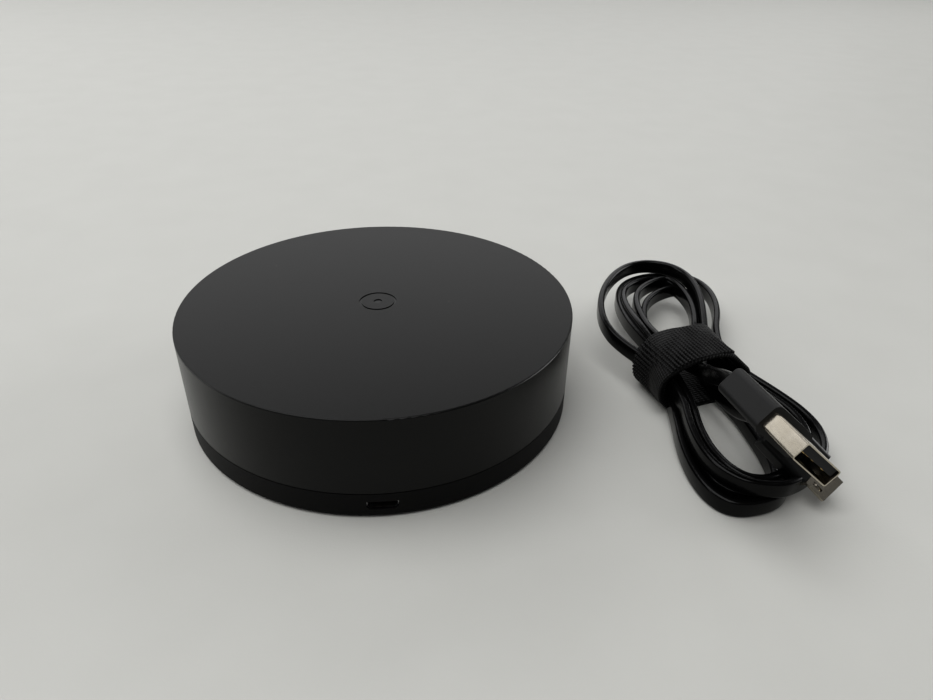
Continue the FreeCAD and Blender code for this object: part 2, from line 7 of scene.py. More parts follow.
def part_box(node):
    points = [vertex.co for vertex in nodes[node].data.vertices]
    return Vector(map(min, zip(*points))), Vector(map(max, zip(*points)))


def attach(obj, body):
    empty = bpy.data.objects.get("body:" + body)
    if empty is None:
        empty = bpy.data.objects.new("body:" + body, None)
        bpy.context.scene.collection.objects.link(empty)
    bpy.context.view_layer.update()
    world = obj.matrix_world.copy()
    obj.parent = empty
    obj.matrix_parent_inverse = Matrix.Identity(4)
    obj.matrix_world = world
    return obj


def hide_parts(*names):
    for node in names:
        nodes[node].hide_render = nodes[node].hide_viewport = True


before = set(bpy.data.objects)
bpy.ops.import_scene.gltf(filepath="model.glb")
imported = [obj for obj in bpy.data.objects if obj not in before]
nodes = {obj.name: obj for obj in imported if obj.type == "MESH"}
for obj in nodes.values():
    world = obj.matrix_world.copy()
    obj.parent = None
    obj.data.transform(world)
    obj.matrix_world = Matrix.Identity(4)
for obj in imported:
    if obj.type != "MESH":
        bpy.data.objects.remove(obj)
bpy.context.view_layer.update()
MM = 0.001

# ---- camera ------------------------------------------------------------------------------
# It stands in front of the hub and above it with a fairly wide lens, held almost level and
# turned a little to the right, so that the tied cable is in view as well.
camera_data = bpy.data.cameras.new("camera")
camera_data.sensor_width = 36.0
camera_data.lens = 27.34
camera_data.clip_start, camera_data.clip_end = 0.01, 20.0
camera = bpy.data.objects.new("camera", camera_data)
bpy.context.scene.collection.objects.link(camera)
looking = Vector((0.09534, 0.84035, -0.53359))
camera_up = Vector((0.04150, 0.53222, 0.84559))
sideways = looking.cross(camera_up).normalized()
camera_up = sideways.cross(looking).normalized()
turn = Matrix((sideways, camera_up, -looking.normalized())).transposed()
camera.matrix_world = Matrix.Translation(Vector((5.03, -170.97, 119.85)) * MM) @ turn.to_4x4()
bpy.context.scene.camera = camera

# ---- lead: the route of the flat cable through its tied hank -----------------------------
# One flat PVC lead, 4.6 by 2 mm and 1.14 m long, folded to and fro through a strap.
# It stands on edge: five bends fan out behind the strap and four in front of it.
LEAD_WIDTH, LEAD_THICKNESS = 4.6 * MM, 2.0 * MM
HALF_BEND = 7                       # points of the route in half a bend
strap_centre, strap_width = Vector((88.5, -9.0, 0)), 16.0       # mm, like the whole route
strap_skew = math.radians(15)
strap_across = Vector((math.cos(strap_skew), math.sin(strap_skew), 0))
strap_along = Vector((math.sin(strap_skew), -math.cos(strap_skew), 0))

# Where each pass goes through the strap: (across, height) at its front and its back edge.
front_left = {"plug": (-2.4, 12.2), "inner_high": (-5.2, 6.5), "inner_low": (-7.4, 4.0),
              "outer_low": (-10.2, 3.8), "outer_high": (-9.6, 8.8)}
back_left = {"outer": (-10.4, 8.0), "far": (-8.2, 9.6), "middle": (-6.4, 11.0),
             "upper": (-4.6, 9.4), "lower": (-5.6, 5.0)}
back_right = {"lower": (2.5, 5.0), "upper": (4.4, 8.0), "middle": (6.4, 6.0),
              "outer": (9.2, 10.0), "far": (11.4, 6.6)}
front_right = {"device": (0.6, 7.6), "inner_low": (5.8, 3.0), "outer_low": (7.9, 2.5),
               "inner_high": (9.2, 7.4), "outer_high": (11.4, 6.8)}

# Each bend: its tip, the tip's tilt in degrees, then for its left and its right leg the knee
# and how far the tip's curve leans towards it, and the heights at left knee, tip, right knee.
front_bends = {
    "outer_low": ((83.2, -59.4), 2, (73.3, -39.6), 10.1, (99.2, -50.0), 16.6, (2.3, 2.3, 2.3)),
    "inner_low": ((85.7, -56.3), -4, (77.7, -38.2), 11.2, (96.4, -36.0), 13.8, (2.3, 2.3, 2.3)),
    "outer_high": ((90.8, -58.6), 0, (78.2, -32.8), 19.9, (131.5, -39.5), 5.0, (7.0, 6.9, 1.0)),
    "inner_high": ((88.4, -56.0), 8, (77.3, -37.1), 9.0, (127.4, -40.6), 2.6, (5.0, 6.6, 1.0)),
}
back_bends = {
    "outer": ((92.0, 50.0), 0, (55.0, 5.4), 14.1, (112.0, 38.0), 12.0, (13.5, 11.7, 12.5)),
    "far": ((99.0, 50.0), 6, (74.2, 33.2), 19.2, (113.0, 20.0), 21.0, (7.0, 6.7, 8.0)),
    "middle": ((92.4, 44.8), 20, (76.6, 27.0), 15.0, (107.8, 25.2), 11.3, (9.0, 8.0, 8.0)),
    "upper": ((97.3, 43.0), 25, (81.0, 26.5), 17.0, (105.0, 19.0), 6.7, (8.6, 8.8, 9.4)),
    "lower": ((101.0, 40.4), 20, (82.8, 19.0), 18.4, (108.6, 22.0), 4.0, (6.8, 6.9, 7.0)),
}
# The order of the passes: in at the left of the strap, round the back, out at the right.
passes = [("plug", "upper", "outer_low"), ("outer_low", "lower", "inner_low"),
          ("inner_low", "middle", "inner_high"), ("inner_high", "far", "outer_high"),
          ("outer_high", "outer", "device")]
plug_rear, device_rear = Vector((86.05, -41.6, 22.8)), Vector((93.42, -45.54, 14.14))
plug_end = [plug_rear, Vector((85.8, -37.2, 22.2)), Vector((85.9, -31.4, 19.8)),
            Vector((86.4, -25.6, 16.4))]
device_end = [Vector((91.8, -24.0, 7.6)), Vector((92.2, -31.0, 9.0)), Vector((91.8, -37.8, 12.9)),
              Vector((91.4, -42.6, 15.9)), device_rear]


def in_strap(place, edge):
    # A point of the strap's front (edge 1) or back (edge -1) opening.
    across, height = place
    point = strap_centre + strap_across * across + strap_along * edge * strap_width / 2
    return Vector((point.x, point.y, height))


def half_bend(start, knee, lean, end, steps):
    # Points on the smooth curve from a bend's foot to its tip, or back.
    return [start * (1 - t) ** 3 + knee * 3 * (1 - t) ** 2 * t + lean * 3 * (1 - t) * t ** 2
            + end * t ** 3 for t in steps]


def bend(start, end, shape, first):
    # A whole bend of the lead, entered by its left or its right leg.
    (tip_x, tip_y), tilt, left_knee, left_lean, right_knee, right_lean, heights = shape
    tip = Vector((tip_x, tip_y, heights[1]))
    way = Vector((math.cos(math.radians(tilt)), math.sin(math.radians(tilt)), 0))
    left = (Vector((*left_knee, heights[0])), tip - way * left_lean)
    right = (Vector((*right_knee, heights[2])), tip + way * right_lean)
    coming, going = (left, right) if first == "left" else (right, left)
    steps = [k / HALF_BEND for k in range(1, HALF_BEND + 1)]
    turn_in = half_bend(start, coming[0], coming[1], tip, steps)
    turn_out = half_bend(tip, going[1], going[0], end, steps[:-1])
    return turn_in + turn_out


route = plug_end + [in_strap(front_left["plug"], 1)]
for left, back, right in passes:
    entering, behind = in_strap(front_left[left], 1), in_strap(back_left[back], -1)
    coming_back, leaving = in_strap(back_right[back], -1), in_strap(front_right[right], 1)
    route.append((entering + behind) / 2)
    route += bend(behind, coming_back, back_bends[back], "left")
    route.append((coming_back + leaving) / 2)
    if right == "device":
        route.append(leaving)
    else:
        route += bend(leaving, in_strap(front_left[right], 1), front_bends[right], "right")
route += device_end

line_data = bpy.data.curves.new("lead_line", "CURVE")
line_data.dimensions = "3D"
line_data.resolution_u = 8
spline = line_data.splines.new("NURBS")
spline.points.add(len(route) - 1)
for point, place in zip(spline.points, route):
    point.co = (*(place * MM), 1.0)
spline.order_u = 3
spline.use_endpoint_u = True
line_object = bpy.data.objects.new("lead_line", line_data)
bpy.context.scene.collection.objects.link(line_object)
bpy.context.view_layer.update()
line_mesh = bpy.data.meshes.new_from_object(line_object)
centres = [v.co.copy() for v in line_mesh.vertices]
bpy.data.objects.remove(line_object)

# ---- lead: the moulded flat section and its glossy skin ----------------------------------
# Black PVC extruded over two pairs of wires, with rounded edges and a glossy skin that has
# picked up a little dust. The section keeps its wide side upright all along the route.
CORNER = 0.75 * MM
CORNER_STEPS = 4


def flat_section(width, thickness, corner):
    # Rounded rectangle, (sideways, up), anticlockwise.
    outline = []
    for side, top, start in ((1, 1, 0), (-1, 1, 90), (-1, -1, 180), (1, -1, 270)):
        for step in range(CORNER_STEPS + 1):
            angle = math.radians(start + 90 * step / CORNER_STEPS)
            outline.append((side * (thickness / 2 - corner) + corner * math.cos(angle),
                            top * (width / 2 - corner) + corner * math.sin(angle)))
    return outline


def sweep(name, line, section):
    # Draws a section along a line with its long side upright, closed at both ends.
    rings, along, travelled = [], [], 0.0
    upright = Vector((0, 0, 1))
    for k, centre in enumerate(line):
        tangent = (line[min(k + 1, len(line) - 1)] - line[max(k - 1, 0)]).normalized()
        side = tangent.cross(upright).normalized()
        up = side.cross(tangent)
        rings.append([centre + side * a + up * b for a, b in section])
        travelled += (centre - line[k - 1]).length if k else 0.0
        along.append(travelled)
    count = len(section)
    points = [p for ring in rings for p in ring]
    faces = [tuple(range(count)), tuple(reversed(range(len(points) - count, len(points))))]
    for k in range(len(rings) - 1):
        for j in range(count):
            a, b = k * count + j, k * count + (j + 1) % count
            faces.append((a, a + count, b + count, b))
    mesh = bpy.data.meshes.new(name)
    mesh.from_pydata(points, [], faces)
    mesh.validate()
    uv = mesh.uv_layers.new(name="along")
    for face in mesh.polygons:
        for loop in face.loop_indices:
            ring, j = divmod(mesh.loops[loop].vertex_index, count)
            uv.data[loop].uv = (along[ring], j / count)
        face.use_smooth = len(face.vertices) == 4
    piece = bpy.data.objects.new(name, mesh)
    bpy.context.scene.collection.objects.link(piece)
    return piece


def new_material(name, colour, roughness, metallic=0.0, gloss=0.5):
    made = bpy.data.materials.new(name)
    made.use_nodes = True
    shader = made.node_tree.nodes["Principled BSDF"]
    shader.inputs["Base Color"].default_value = (*colour, 1.0)
    shader.inputs["Roughness"].default_value = roughness
    shader.inputs["Metallic"].default_value = metallic
    shader.inputs["Specular IOR Level"].default_value = gloss
    return made


def new_group(name, inputs, outputs):
    # An empty shader group, its sockets named, with the nodes that stand for its two ends.
    tree = bpy.data.node_groups.new(name, "ShaderNodeTree")
    for label, kind, value in inputs:
        socket = tree.interface.new_socket(name=label, in_out="INPUT", socket_type=kind)
        if value is not None:
            socket.default_value = value
    for label, kind in outputs:
        tree.interface.new_socket(name=label, in_out="OUTPUT", socket_type=kind)
    return tree, tree.nodes.new("NodeGroupInput"), tree.nodes.new("NodeGroupOutput")


def per_metre(tree, size):
    # How often a size fits into a metre, as a texture's scale.
    divide = tree.nodes.new("ShaderNodeMath")
    divide.operation = "DIVIDE"
    divide.inputs[0].default_value = 1.0
    tree.links.new(size, divide.inputs[1])
    return divide.outputs[0]


# Moulded grain: a fine noise and a slower one, put out as a height and as a mask.
grain, grain_in, grain_out = new_group(
    "moulded_grain",
    [("Vector", "NodeSocketVector", None), ("Grain Size", "NodeSocketFloat", 0.0002),
     ("Wave Size", "NodeSocketFloat", 0.01)],
    [("Height", "NodeSocketFloat"), ("Cloudy", "NodeSocketFloat")])
for label, size_socket, detail, out_socket in (
        ("fine", "Grain Size", 2.0, "Height"), ("slow", "Wave Size", 4.0, "Cloudy")):
    noise = grain.nodes.new("ShaderNodeTexNoise")
    noise.label = label
    noise.inputs["Detail"].default_value = detail
    grain.links.new(grain_in.outputs["Vector"], noise.inputs["Vector"])
    grain.links.new(per_metre(grain, grain_in.outputs[size_socket]), noise.inputs["Scale"])
    grain.links.new(noise.outputs["Fac"], grain_out.inputs[out_socket])

# Dust: sparse small specks, each in the middle of a cell, with most cells left out.
dust, dust_in, dust_out = new_group(
    "settled_dust",
    [("Vector", "NodeSocketVector", None), ("Cell Size", "NodeSocketFloat", 0.004),
     ("Speck Share", "NodeSocketFloat", 0.06), ("Cells Used", "NodeSocketFloat", 0.3)],
    [("Mask", "NodeSocketFloat")])
cells = dust.nodes.new("ShaderNodeTexVoronoi")
dust.links.new(dust_in.outputs["Vector"], cells.inputs["Vector"])
dust.links.new(per_metre(dust, dust_in.outputs["Cell Size"]), cells.inputs["Scale"])
near = dust.nodes.new("ShaderNodeMath")
near.operation = "LESS_THAN"
dust.links.new(cells.outputs["Distance"], near.inputs[0])
dust.links.new(dust_in.outputs["Speck Share"], near.inputs[1])
parted = dust.nodes.new("ShaderNodeSeparateColor")
dust.links.new(cells.outputs["Color"], parted.inputs["Color"])
chosen = dust.nodes.new("ShaderNodeMath")
chosen.operation = "LESS_THAN"
dust.links.new(parted.outputs["Red"], chosen.inputs[0])
dust.links.new(dust_in.outputs["Cells Used"], chosen.inputs[1])
both = dust.nodes.new("ShaderNodeMath")
both.operation = "MULTIPLY"
dust.links.new(near.outputs[0], both.inputs[0])
dust.links.new(chosen.outputs[0], both.inputs[1])
dust.links.new(both.outputs[0], dust_out.inputs["Mask"])


def object_coordinates(material):
    return material.node_tree.nodes.new("ShaderNodeTexCoord").outputs["Object"]


def add_group(material, group, vector, **values):
    # Places a shader group in a material; grain_size sets its "Grain Size" socket.
    node = material.node_tree.nodes.new("ShaderNodeGroup")
    node.node_tree = group
    material.node_tree.links.new(vector, node.inputs["Vector"])
    for label, value in values.items():
        node.inputs[label.replace("_", " ").title()].default_value = value
    return node


def add_bump(material, height, depth, strength=1.0):
    bump = material.node_tree.nodes.new("ShaderNodeBump")
    bump.inputs["Distance"].default_value = depth
    bump.inputs["Strength"].default_value = strength
    material.node_tree.links.new(height, bump.inputs["Height"])
    shader = material.node_tree.nodes["Principled BSDF"]
    material.node_tree.links.new(bump.outputs["Normal"], shader.inputs["Normal"])
    return bump


def vary(material, mask, socket, low, high):
    # Carries a 0 to 1 mask into a shader socket, as a value or as a colour between two.
    tree = material.node_tree
    shader = tree.nodes["Principled BSDF"]
    if isinstance(low, tuple):
        mix = tree.nodes.new("ShaderNodeMix")
        mix.data_type = "RGBA"
        for entry in mix.inputs:
            if entry.type == "RGBA" and entry.name in "AB":
                entry.default_value = (*(low if entry.name == "A" else high), 1.0)
        tree.links.new(mask, mix.inputs["Factor"])
        result = next(o for o in mix.outputs if o.type == "RGBA")
    else:
        ramp = tree.nodes.new("ShaderNodeMapRange")
        ramp.inputs["To Min"].default_value = low
        ramp.inputs["To Max"].default_value = high
        tree.links.new(mask, ramp.inputs["Value"])
        result = ramp.outputs["Result"]
    tree.links.new(result, shader.inputs[socket])


lead_black, lead_dust = (0.0022, 0.0022, 0.0023), (0.12, 0.12, 0.11)
lead_pvc = new_material("lead_pvc", lead_black, 0.24, gloss=0.2)
lead_place = object_coordinates(lead_pvc)
lead_grain = add_group(lead_pvc, grain, lead_place, grain_size=0.0012, wave_size=0.012)
lead_specks = add_group(lead_pvc, dust, lead_place, cell_size=0.005, speck_share=0.02,
                        cells_used=0.15)
vary(lead_pvc, lead_grain.outputs["Cloudy"], "Roughness", 0.16, 0.26)
vary(lead_pvc, lead_specks.outputs["Mask"], "Base Color", lead_black, lead_dust)
add_bump(lead_pvc, lead_grain.outputs["Height"], 0.00004)

lead = sweep("lead", centres, flat_section(LEAD_WIDTH, LEAD_THICKNESS, CORNER))
lead.data.materials.append(lead_pvc)
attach(lead, "supply_cable")
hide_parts("cable_hank", "cable_plug_lead", "cable_device_lead")

# ---- strap: the woven hook-and-loop tie round the middle of the hank ---------------------
# A 16 mm nylon strap, 1.1 mm thick, pulled tight round the strands, wider than it is high
# and sloping down at its right, where its strands lie lower. Its weft stands up in ribs.
STRAP_THICKNESS = 1.1
STRAP_STEPS = 12                    # faces across the strap
# Outside outlines, anticlockwise, (across, height), of the front (1) and the back edge (-1):
# the front one gapes at its left, the back one's right shoulder clears the outermost strand.
strap_outlines = {
    1: [(-16.6, 8.4), (-15.4, 4.4), (-11.6, 1.2), (-6.0, 0.0), (4.0, 0.0), (12.0, 0.0),
        (14.6, 3.0), (14.8, 8.6), (10.6, 12.4), (6.6, 16.0), (1.0, 17.0), (-5.5, 16.6),
        (-12.0, 14.4), (-16.0, 11.6)],
    -1: [(-12.8, 8.5), (-12.6, 3.0), (-10.4, 0.0), (-3.0, 0.0), (4.0, 0.0), (12.0, 0.0),
         (14.6, 3.0), (14.8, 8.6), (12.2, 13.4), (8.2, 17.0), (1.5, 16.8), (-3.5, 17.2),
         (-9.5, 16.6), (-12.0, 14.2)],
}


def strap_line(outline):
    # Smooth points round a closed outline.
    data = bpy.data.curves.new("strap_line", "CURVE")
    data.dimensions = "3D"
    data.resolution_u = 12
    path = data.splines.new("NURBS")
    path.points.add(len(outline) - 1)
    for point, (across, height) in zip(path.points, outline):
        point.co = (across, height, 0.0, 1.0)
    path.order_u = 3
    path.use_cyclic_u = True
    holder = bpy.data.objects.new("strap_line", data)
    bpy.context.scene.collection.objects.link(holder)
    bpy.context.view_layer.update()
    flat = bpy.data.meshes.new_from_object(holder)
    bpy.data.objects.remove(holder)
    return [Vector((v.co.x, v.co.y)) for v in flat.vertices]


def outward(line, k):
    # The way out from a closed line that runs anticlockwise.
    run = line[(k + 1) % len(line)] - line[k - 1]
    return Vector((run.y, -run.x)).normalized()


strap_lines = {edge: strap_line(outline) for edge, outline in strap_outlines.items()}
OFF_TABLE = 0.02                    # the strap's underside rests on the table


def on_strap(k, edge, depth):
    # A point at step k round the strap, from its back (-1) to its front edge (1).
    share = (edge + 1) / 2
    place = strap_lines[-1][k].lerp(strap_lines[1][k], share)
    way = outward(strap_lines[-1], k).lerp(outward(strap_lines[1], k), share).normalized()
    across, height = place - way * depth
    point = strap_centre + strap_across * across + strap_along * edge * strap_width / 2
    return Vector((point.x, point.y, max(height, OFF_TABLE))) * MM


round_steps = len(strap_lines[1])
lanes = [(-1 + 2 * j / STRAP_STEPS, 0.0) for j in range(STRAP_STEPS + 1)]
lanes += [(edge, STRAP_THICKNESS) for edge, _ in reversed(lanes)]
strap_points = [on_strap(k, edge, depth) for k in range(round_steps) for edge, depth in lanes]
strap_faces = []
for k in range(round_steps):
    for j in range(len(lanes)):
        a, b = k * len(lanes) + j, k * len(lanes) + (j + 1) % len(lanes)
        following = (k + 1) % round_steps - k
        strap_faces.append((a, b, b + following * len(lanes), a + following * len(lanes)))
strap_mesh = bpy.data.meshes.new("strap")
strap_mesh.from_pydata(strap_points, [], strap_faces)
strap_mesh.validate()
strap_uv = strap_mesh.uv_layers.new(name="weave")
round_length = sum((strap_lines[1][k] - strap_lines[1][k - 1]).length
                   for k in range(round_steps)) * MM
for k, face in enumerate(strap_mesh.polygons):
    step, lane = divmod(k, len(lanes))      # u runs round the strap, v across it
    for loop, (du, dv) in zip(face.loop_indices, ((0, 0), (0, 1), (1, 1), (1, 0))):
        edge = lanes[(lane + dv) % len(lanes)][0]
        strap_uv.data[loop].uv = ((step + du) / round_steps * round_length,
                                  (edge + 1) / 2 * strap_width * MM)
    face.use_smooth = True
strap = bpy.data.objects.new("strap", strap_mesh)
bpy.context.scene.collection.objects.link(strap)

# The lighter of these two colours is a painted highlight on the weave's raised threads.
strap_black, strap_painted_highlight = (0.0010, 0.0010, 0.0010), (0.010, 0.010, 0.010)
WEFT_PITCH, WARP_PITCH = 1.0 * MM, 0.9 * MM
WAVE_PER_PITCH = math.pi / 10       # a wave texture's scale for one band a metre
tie_fabric = new_material("tie_fabric", strap_black, 0.55, gloss=0.25)
tree = tie_fabric.node_tree
weave_uv = tree.nodes.new("ShaderNodeUVMap")
weave_uv.uv_map = "weave"
weft = tree.nodes.new("ShaderNodeTexWave")
weft.bands_direction = "X"
weft.inputs["Scale"].default_value = WAVE_PER_PITCH / WEFT_PITCH
tree.links.new(weave_uv.outputs["UV"], weft.inputs["Vector"])
squared = tree.nodes.new("ShaderNodeMapping")
squared.vector_type = "TEXTURE"
squared.inputs["Rotation"].default_value = (0, 0, strap_skew)
tree.links.new(object_coordinates(tie_fabric), squared.inputs["Vector"])
warp = tree.nodes.new("ShaderNodeTexWave")
warp.bands_direction = "Y"
warp.inputs["Scale"].default_value = WAVE_PER_PITCH / WARP_PITCH
tree.links.new(squared.outputs["Vector"], warp.inputs["Vector"])
weave = tree.nodes.new("ShaderNodeMix")
weave.inputs["Factor"].default_value = 0.6
tree.links.new(weft.outputs["Fac"], weave.inputs["A"])
tree.links.new(warp.outputs["Fac"], weave.inputs["B"])
# The weave mask lightens the threads in bands: a painted highlight on the black fabric, not a
# colour of its own.
vary(tie_fabric, weave.outputs["Result"], "Base Color", strap_black, strap_painted_highlight)
add_bump(tie_fabric, weave.outputs["Result"], 0.0004)
strap_mesh.materials.append(tie_fabric)

# The weft's ribs: thin bars laid across the strap, one after another along its outside.
rib_tree = bpy.data.node_groups.new("strap_ribs", "GeometryNodeTree")
rib_tree.interface.new_socket(name="Outline", in_out="INPUT", socket_type="NodeSocketGeometry")
rib_inputs = {}
for label, kind, value in (("Pitch", "NodeSocketFloat", 0.00115),
                           ("Rib Radius", "NodeSocketFloat", 0.00042),
                           ("Rib Length", "NodeSocketFloat", 0.0152),
                           ("Across", "NodeSocketVector", tuple(strap_along)),
                           ("Material", "NodeSocketMaterial", tie_fabric)):
    socket = rib_tree.interface.new_socket(name=label, in_out="INPUT", socket_type=kind)
    rib_inputs[label] = (socket.identifier, value)
rib_tree.interface.new_socket(name="Ribs", in_out="OUTPUT", socket_type="NodeSocketGeometry")
rib_in, rib_out = rib_tree.nodes.new("NodeGroupInput"), rib_tree.nodes.new("NodeGroupOutput")
to_curve = rib_tree.nodes.new("GeometryNodeMeshToCurve")
spaced = rib_tree.nodes.new("GeometryNodeResampleCurve")
spaced.mode = "LENGTH"
aligned = rib_tree.nodes.new("FunctionNodeAlignRotationToVector")
aligned.axis = "Z"
bar = rib_tree.nodes.new("GeometryNodeMeshCylinder")
bar.inputs["Vertices"].default_value = 10
laid = rib_tree.nodes.new("GeometryNodeInstanceOnPoints")
plain = rib_tree.nodes.new("GeometryNodeRealizeInstances")
coated = rib_tree.nodes.new("GeometryNodeSetMaterial")
for source, target in (
        (rib_in.outputs["Outline"], to_curve.inputs["Mesh"]),
        (to_curve.outputs["Curve"], spaced.inputs["Curve"]),
        (rib_in.outputs["Pitch"], spaced.inputs["Length"]),
        (spaced.outputs["Curve"], laid.inputs["Points"]),
        (rib_in.outputs["Rib Radius"], bar.inputs["Radius"]),
        (rib_in.outputs["Rib Length"], bar.inputs["Depth"]),
        (bar.outputs["Mesh"], laid.inputs["Instance"]),
        (rib_in.outputs["Across"], aligned.inputs["Vector"]),
        (aligned.outputs["Rotation"], laid.inputs["Rotation"]),
        (laid.outputs["Instances"], plain.inputs["Geometry"]),
        (plain.outputs["Geometry"], coated.inputs["Geometry"]),
        (rib_in.outputs["Material"], coated.inputs["Material"]),
        (coated.outputs["Geometry"], rib_out.inputs["Ribs"])):
    rib_tree.links.new(source, target)


def through_nodes(name, mesh, tree, values):
    # Runs a mesh through a node tree and keeps the result as a plain mesh.
    holder = bpy.data.objects.new(name + "_source", mesh)
    bpy.context.scene.collection.objects.link(holder)
    modifier = holder.modifiers.new("nodes", "NODES")
    modifier.node_group = tree
    for identifier, value in values:
        modifier[identifier] = value
    evaluated = holder.evaluated_get(bpy.context.evaluated_depsgraph_get())
    made = bpy.data.meshes.new_from_object(evaluated)
    made.name = name
    bpy.data.objects.remove(holder)
    piece = bpy.data.objects.new(name, made)
    bpy.context.scene.collection.objects.link(piece)
    return piece


# The ribs cover the left and the top. The hook side at the right and the underside are flat.
RIBS_ABOVE, RIBS_LEFT_OF, RIB_SEAT = 1.6, 6.0, 0.12
ribbed = [k for k in range(round_steps)
          if strap_lines[1][k].y > RIBS_ABOVE and strap_lines[1][k].x < RIBS_LEFT_OF]
breaks = [n for n in range(1, len(ribbed)) if ribbed[n] - ribbed[n - 1] > 1]
ribbed = ribbed[breaks[0]:] + ribbed[:breaks[0]] if breaks else ribbed      # one unbroken run
rib_line = bpy.data.meshes.new("rib_line")
rib_line.from_pydata([on_strap(k, 0, RIB_SEAT) for k in ribbed],
                     [(k, k + 1) for k in range(len(ribbed) - 1)], [])
ribs = through_nodes("strap_ribs", rib_line, rib_tree, rib_inputs.values())
for piece in (strap, ribs):
    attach(piece, "supply_cable")
    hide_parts("cable_tie")

# ---- plugs: metal shells, contact carriers and grips -------------------------------------
# Pressed and nickel-plated steel shells, slightly stained by handling, over black nylon
# carriers with gold contacts. The grips are moulded over shell and lead in one shot.
# Rolled metal: noise drawn out along one direction, for faint lines and uneven gloss.
rolled, rolled_in, rolled_out = new_group(
    "rolled_metal",
    [("Vector", "NodeSocketVector", None), ("Line Size", "NodeSocketFloat", 0.0003),
     ("Stain Size", "NodeSocketFloat", 0.004)],
    [("Lines", "NodeSocketFloat"), ("Stain", "NodeSocketFloat")])
stretched = rolled.nodes.new("ShaderNodeMapping")
stretched.inputs["Scale"].default_value = (1.0, 0.08, 1.0)
rolled.links.new(rolled_in.outputs["Vector"], stretched.inputs["Vector"])
for size_socket, source, out_socket in (
        ("Line Size", stretched.outputs["Vector"], "Lines"),
        ("Stain Size", rolled_in.outputs["Vector"], "Stain")):
    noise = rolled.nodes.new("ShaderNodeTexNoise")
    noise.inputs["Detail"].default_value = 3.0
    rolled.links.new(source, noise.inputs["Vector"])
    rolled.links.new(per_metre(rolled, rolled_in.outputs[size_socket]), noise.inputs["Scale"])
    rolled.links.new(noise.outputs["Fac"], rolled_out.inputs[out_socket])


def paint(material, *names):
    # Gives the named pieces their material.
    for name in names:
        node = nodes[name]
        if not node.material_slots:
            node.data.materials.append(material)
        for entry in node.material_slots:
            entry.material = material


def metal(name, bright, stained, roughness, line_size, stain_size):
    made = new_material(name, bright, roughness, 1.0)
    parts = add_group(made, rolled, object_coordinates(made), line_size=line_size,
                      stain_size=stain_size)
    vary(made, parts.outputs["Stain"], "Base Color", bright, stained)
    vary(made, parts.outputs["Lines"], "Roughness", roughness * 0.7, roughness * 1.3)
    add_bump(made, parts.outputs["Lines"], 0.000006)
    return made


def moulding(name, colour, worn, roughness, grain_size, depth, gloss=0.3):
    made = new_material(name, colour, roughness, gloss=gloss)
    parts = add_group(made, grain, object_coordinates(made), grain_size=grain_size,
                      wave_size=grain_size * 40)
    vary(made, parts.outputs["Cloudy"], "Base Color", colour, worn)
    vary(made, parts.outputs["Height"], "Roughness", roughness * 0.85, roughness * 1.15)
    add_bump(made, parts.outputs["Height"], depth)
    return made


plug_nickel = metal("plug_nickel", (0.60, 0.56, 0.49), (0.42, 0.38, 0.30), 0.24, 0.0005, 0.003)
contact_gold = metal("contact_gold", (0.83, 0.62, 0.28), (0.70, 0.48, 0.20), 0.25, 0.0004, 0.002)
insulator_black = moulding("insulator_black", (0.012, 0.012, 0.013), (0.02, 0.02, 0.02),
                           0.45, 0.0002, 0.00001)
grip_plastic = moulding("grip_plastic", (0.006, 0.006, 0.006), (0.008, 0.008, 0.008),
                        0.42, 0.00018, 0.00002)
paint(plug_nickel, "usb_a_shell", "micro_b_shell", "micro_b_latches")
paint(contact_gold, "usb_a_contacts", "micro_b_contacts")
paint(insulator_black, "usb_a_insulator", "micro_b_insulator")
paint(grip_plastic, "usb_a_overmould", "micro_b_overmould")

# ---- upper housing: the satin shell with its engraved mark -------------------------------
# Black ABS moulded in a polished tool, so that its wall is smooth, with a very fine etched
# grain on the flat top. It clips and screws to the base from below.
shell_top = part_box("top_housing")[1].z
shell_black, shell_dust = (0.0024, 0.0025, 0.0023), (0.14, 0.12, 0.10)
shell_satin = new_material("shell_satin", shell_black, 0.36, gloss=0.25)
tree = shell_satin.node_tree
shell_place = object_coordinates(shell_satin)
shell_grain = add_group(shell_satin, grain, shell_place, grain_size=0.00016, wave_size=0.03)
shell_specks = add_group(shell_satin, dust, shell_place, cell_size=0.006, speck_share=0.034,
                         cells_used=0.25)
vary(shell_satin, shell_specks.outputs["Mask"], "Base Color", shell_black, shell_dust)
heights = tree.nodes.new("ShaderNodeSeparateXYZ")
tree.links.new(shell_place, heights.inputs["Vector"])
WALL_ROUGHNESS, TOP_ROUGHNESS = 0.27, 0.40
on_top = tree.nodes.new("ShaderNodeMapRange")
on_top.inputs["From Min"].default_value = shell_top - 0.25 * MM
on_top.inputs["From Max"].default_value = shell_top - 0.05 * MM
on_top.inputs["To Min"].default_value = WALL_ROUGHNESS
on_top.inputs["To Max"].default_value = TOP_ROUGHNESS
tree.links.new(heights.outputs["Z"], on_top.inputs["Value"])
tree.links.new(on_top.outputs["Result"],
               tree.nodes["Principled BSDF"].inputs["Roughness"])
add_bump(shell_satin, shell_grain.outputs["Height"], 0.000012)
paint(shell_satin, "top_housing")

# ---- base housing, foot and screws: what the hub stands on -------------------------------
# A matt moulded ring closes the shell from below, with a rubber foot glued into its recess
# over the screw heads. Steel screws go up through it into the shell's bosses.
base_matte = moulding("base_matte", (0.002, 0.002, 0.002), (0.0032, 0.0032, 0.0032),
                      0.55, 0.00025, 0.00003, gloss=0.16)
foot_rubber = moulding("foot_rubber", (0.02, 0.02, 0.02), (0.03, 0.03, 0.03),
                       0.8, 0.0005, 0.00005)
screw_steel = metal("screw_steel", (0.55, 0.55, 0.57), (0.42, 0.42, 0.44), 0.35, 0.0003, 0.002)
paint(base_matte, "base_housing")
paint(foot_rubber, "foot_pad")
paint(screw_steel, "case_screws", "board_screws")

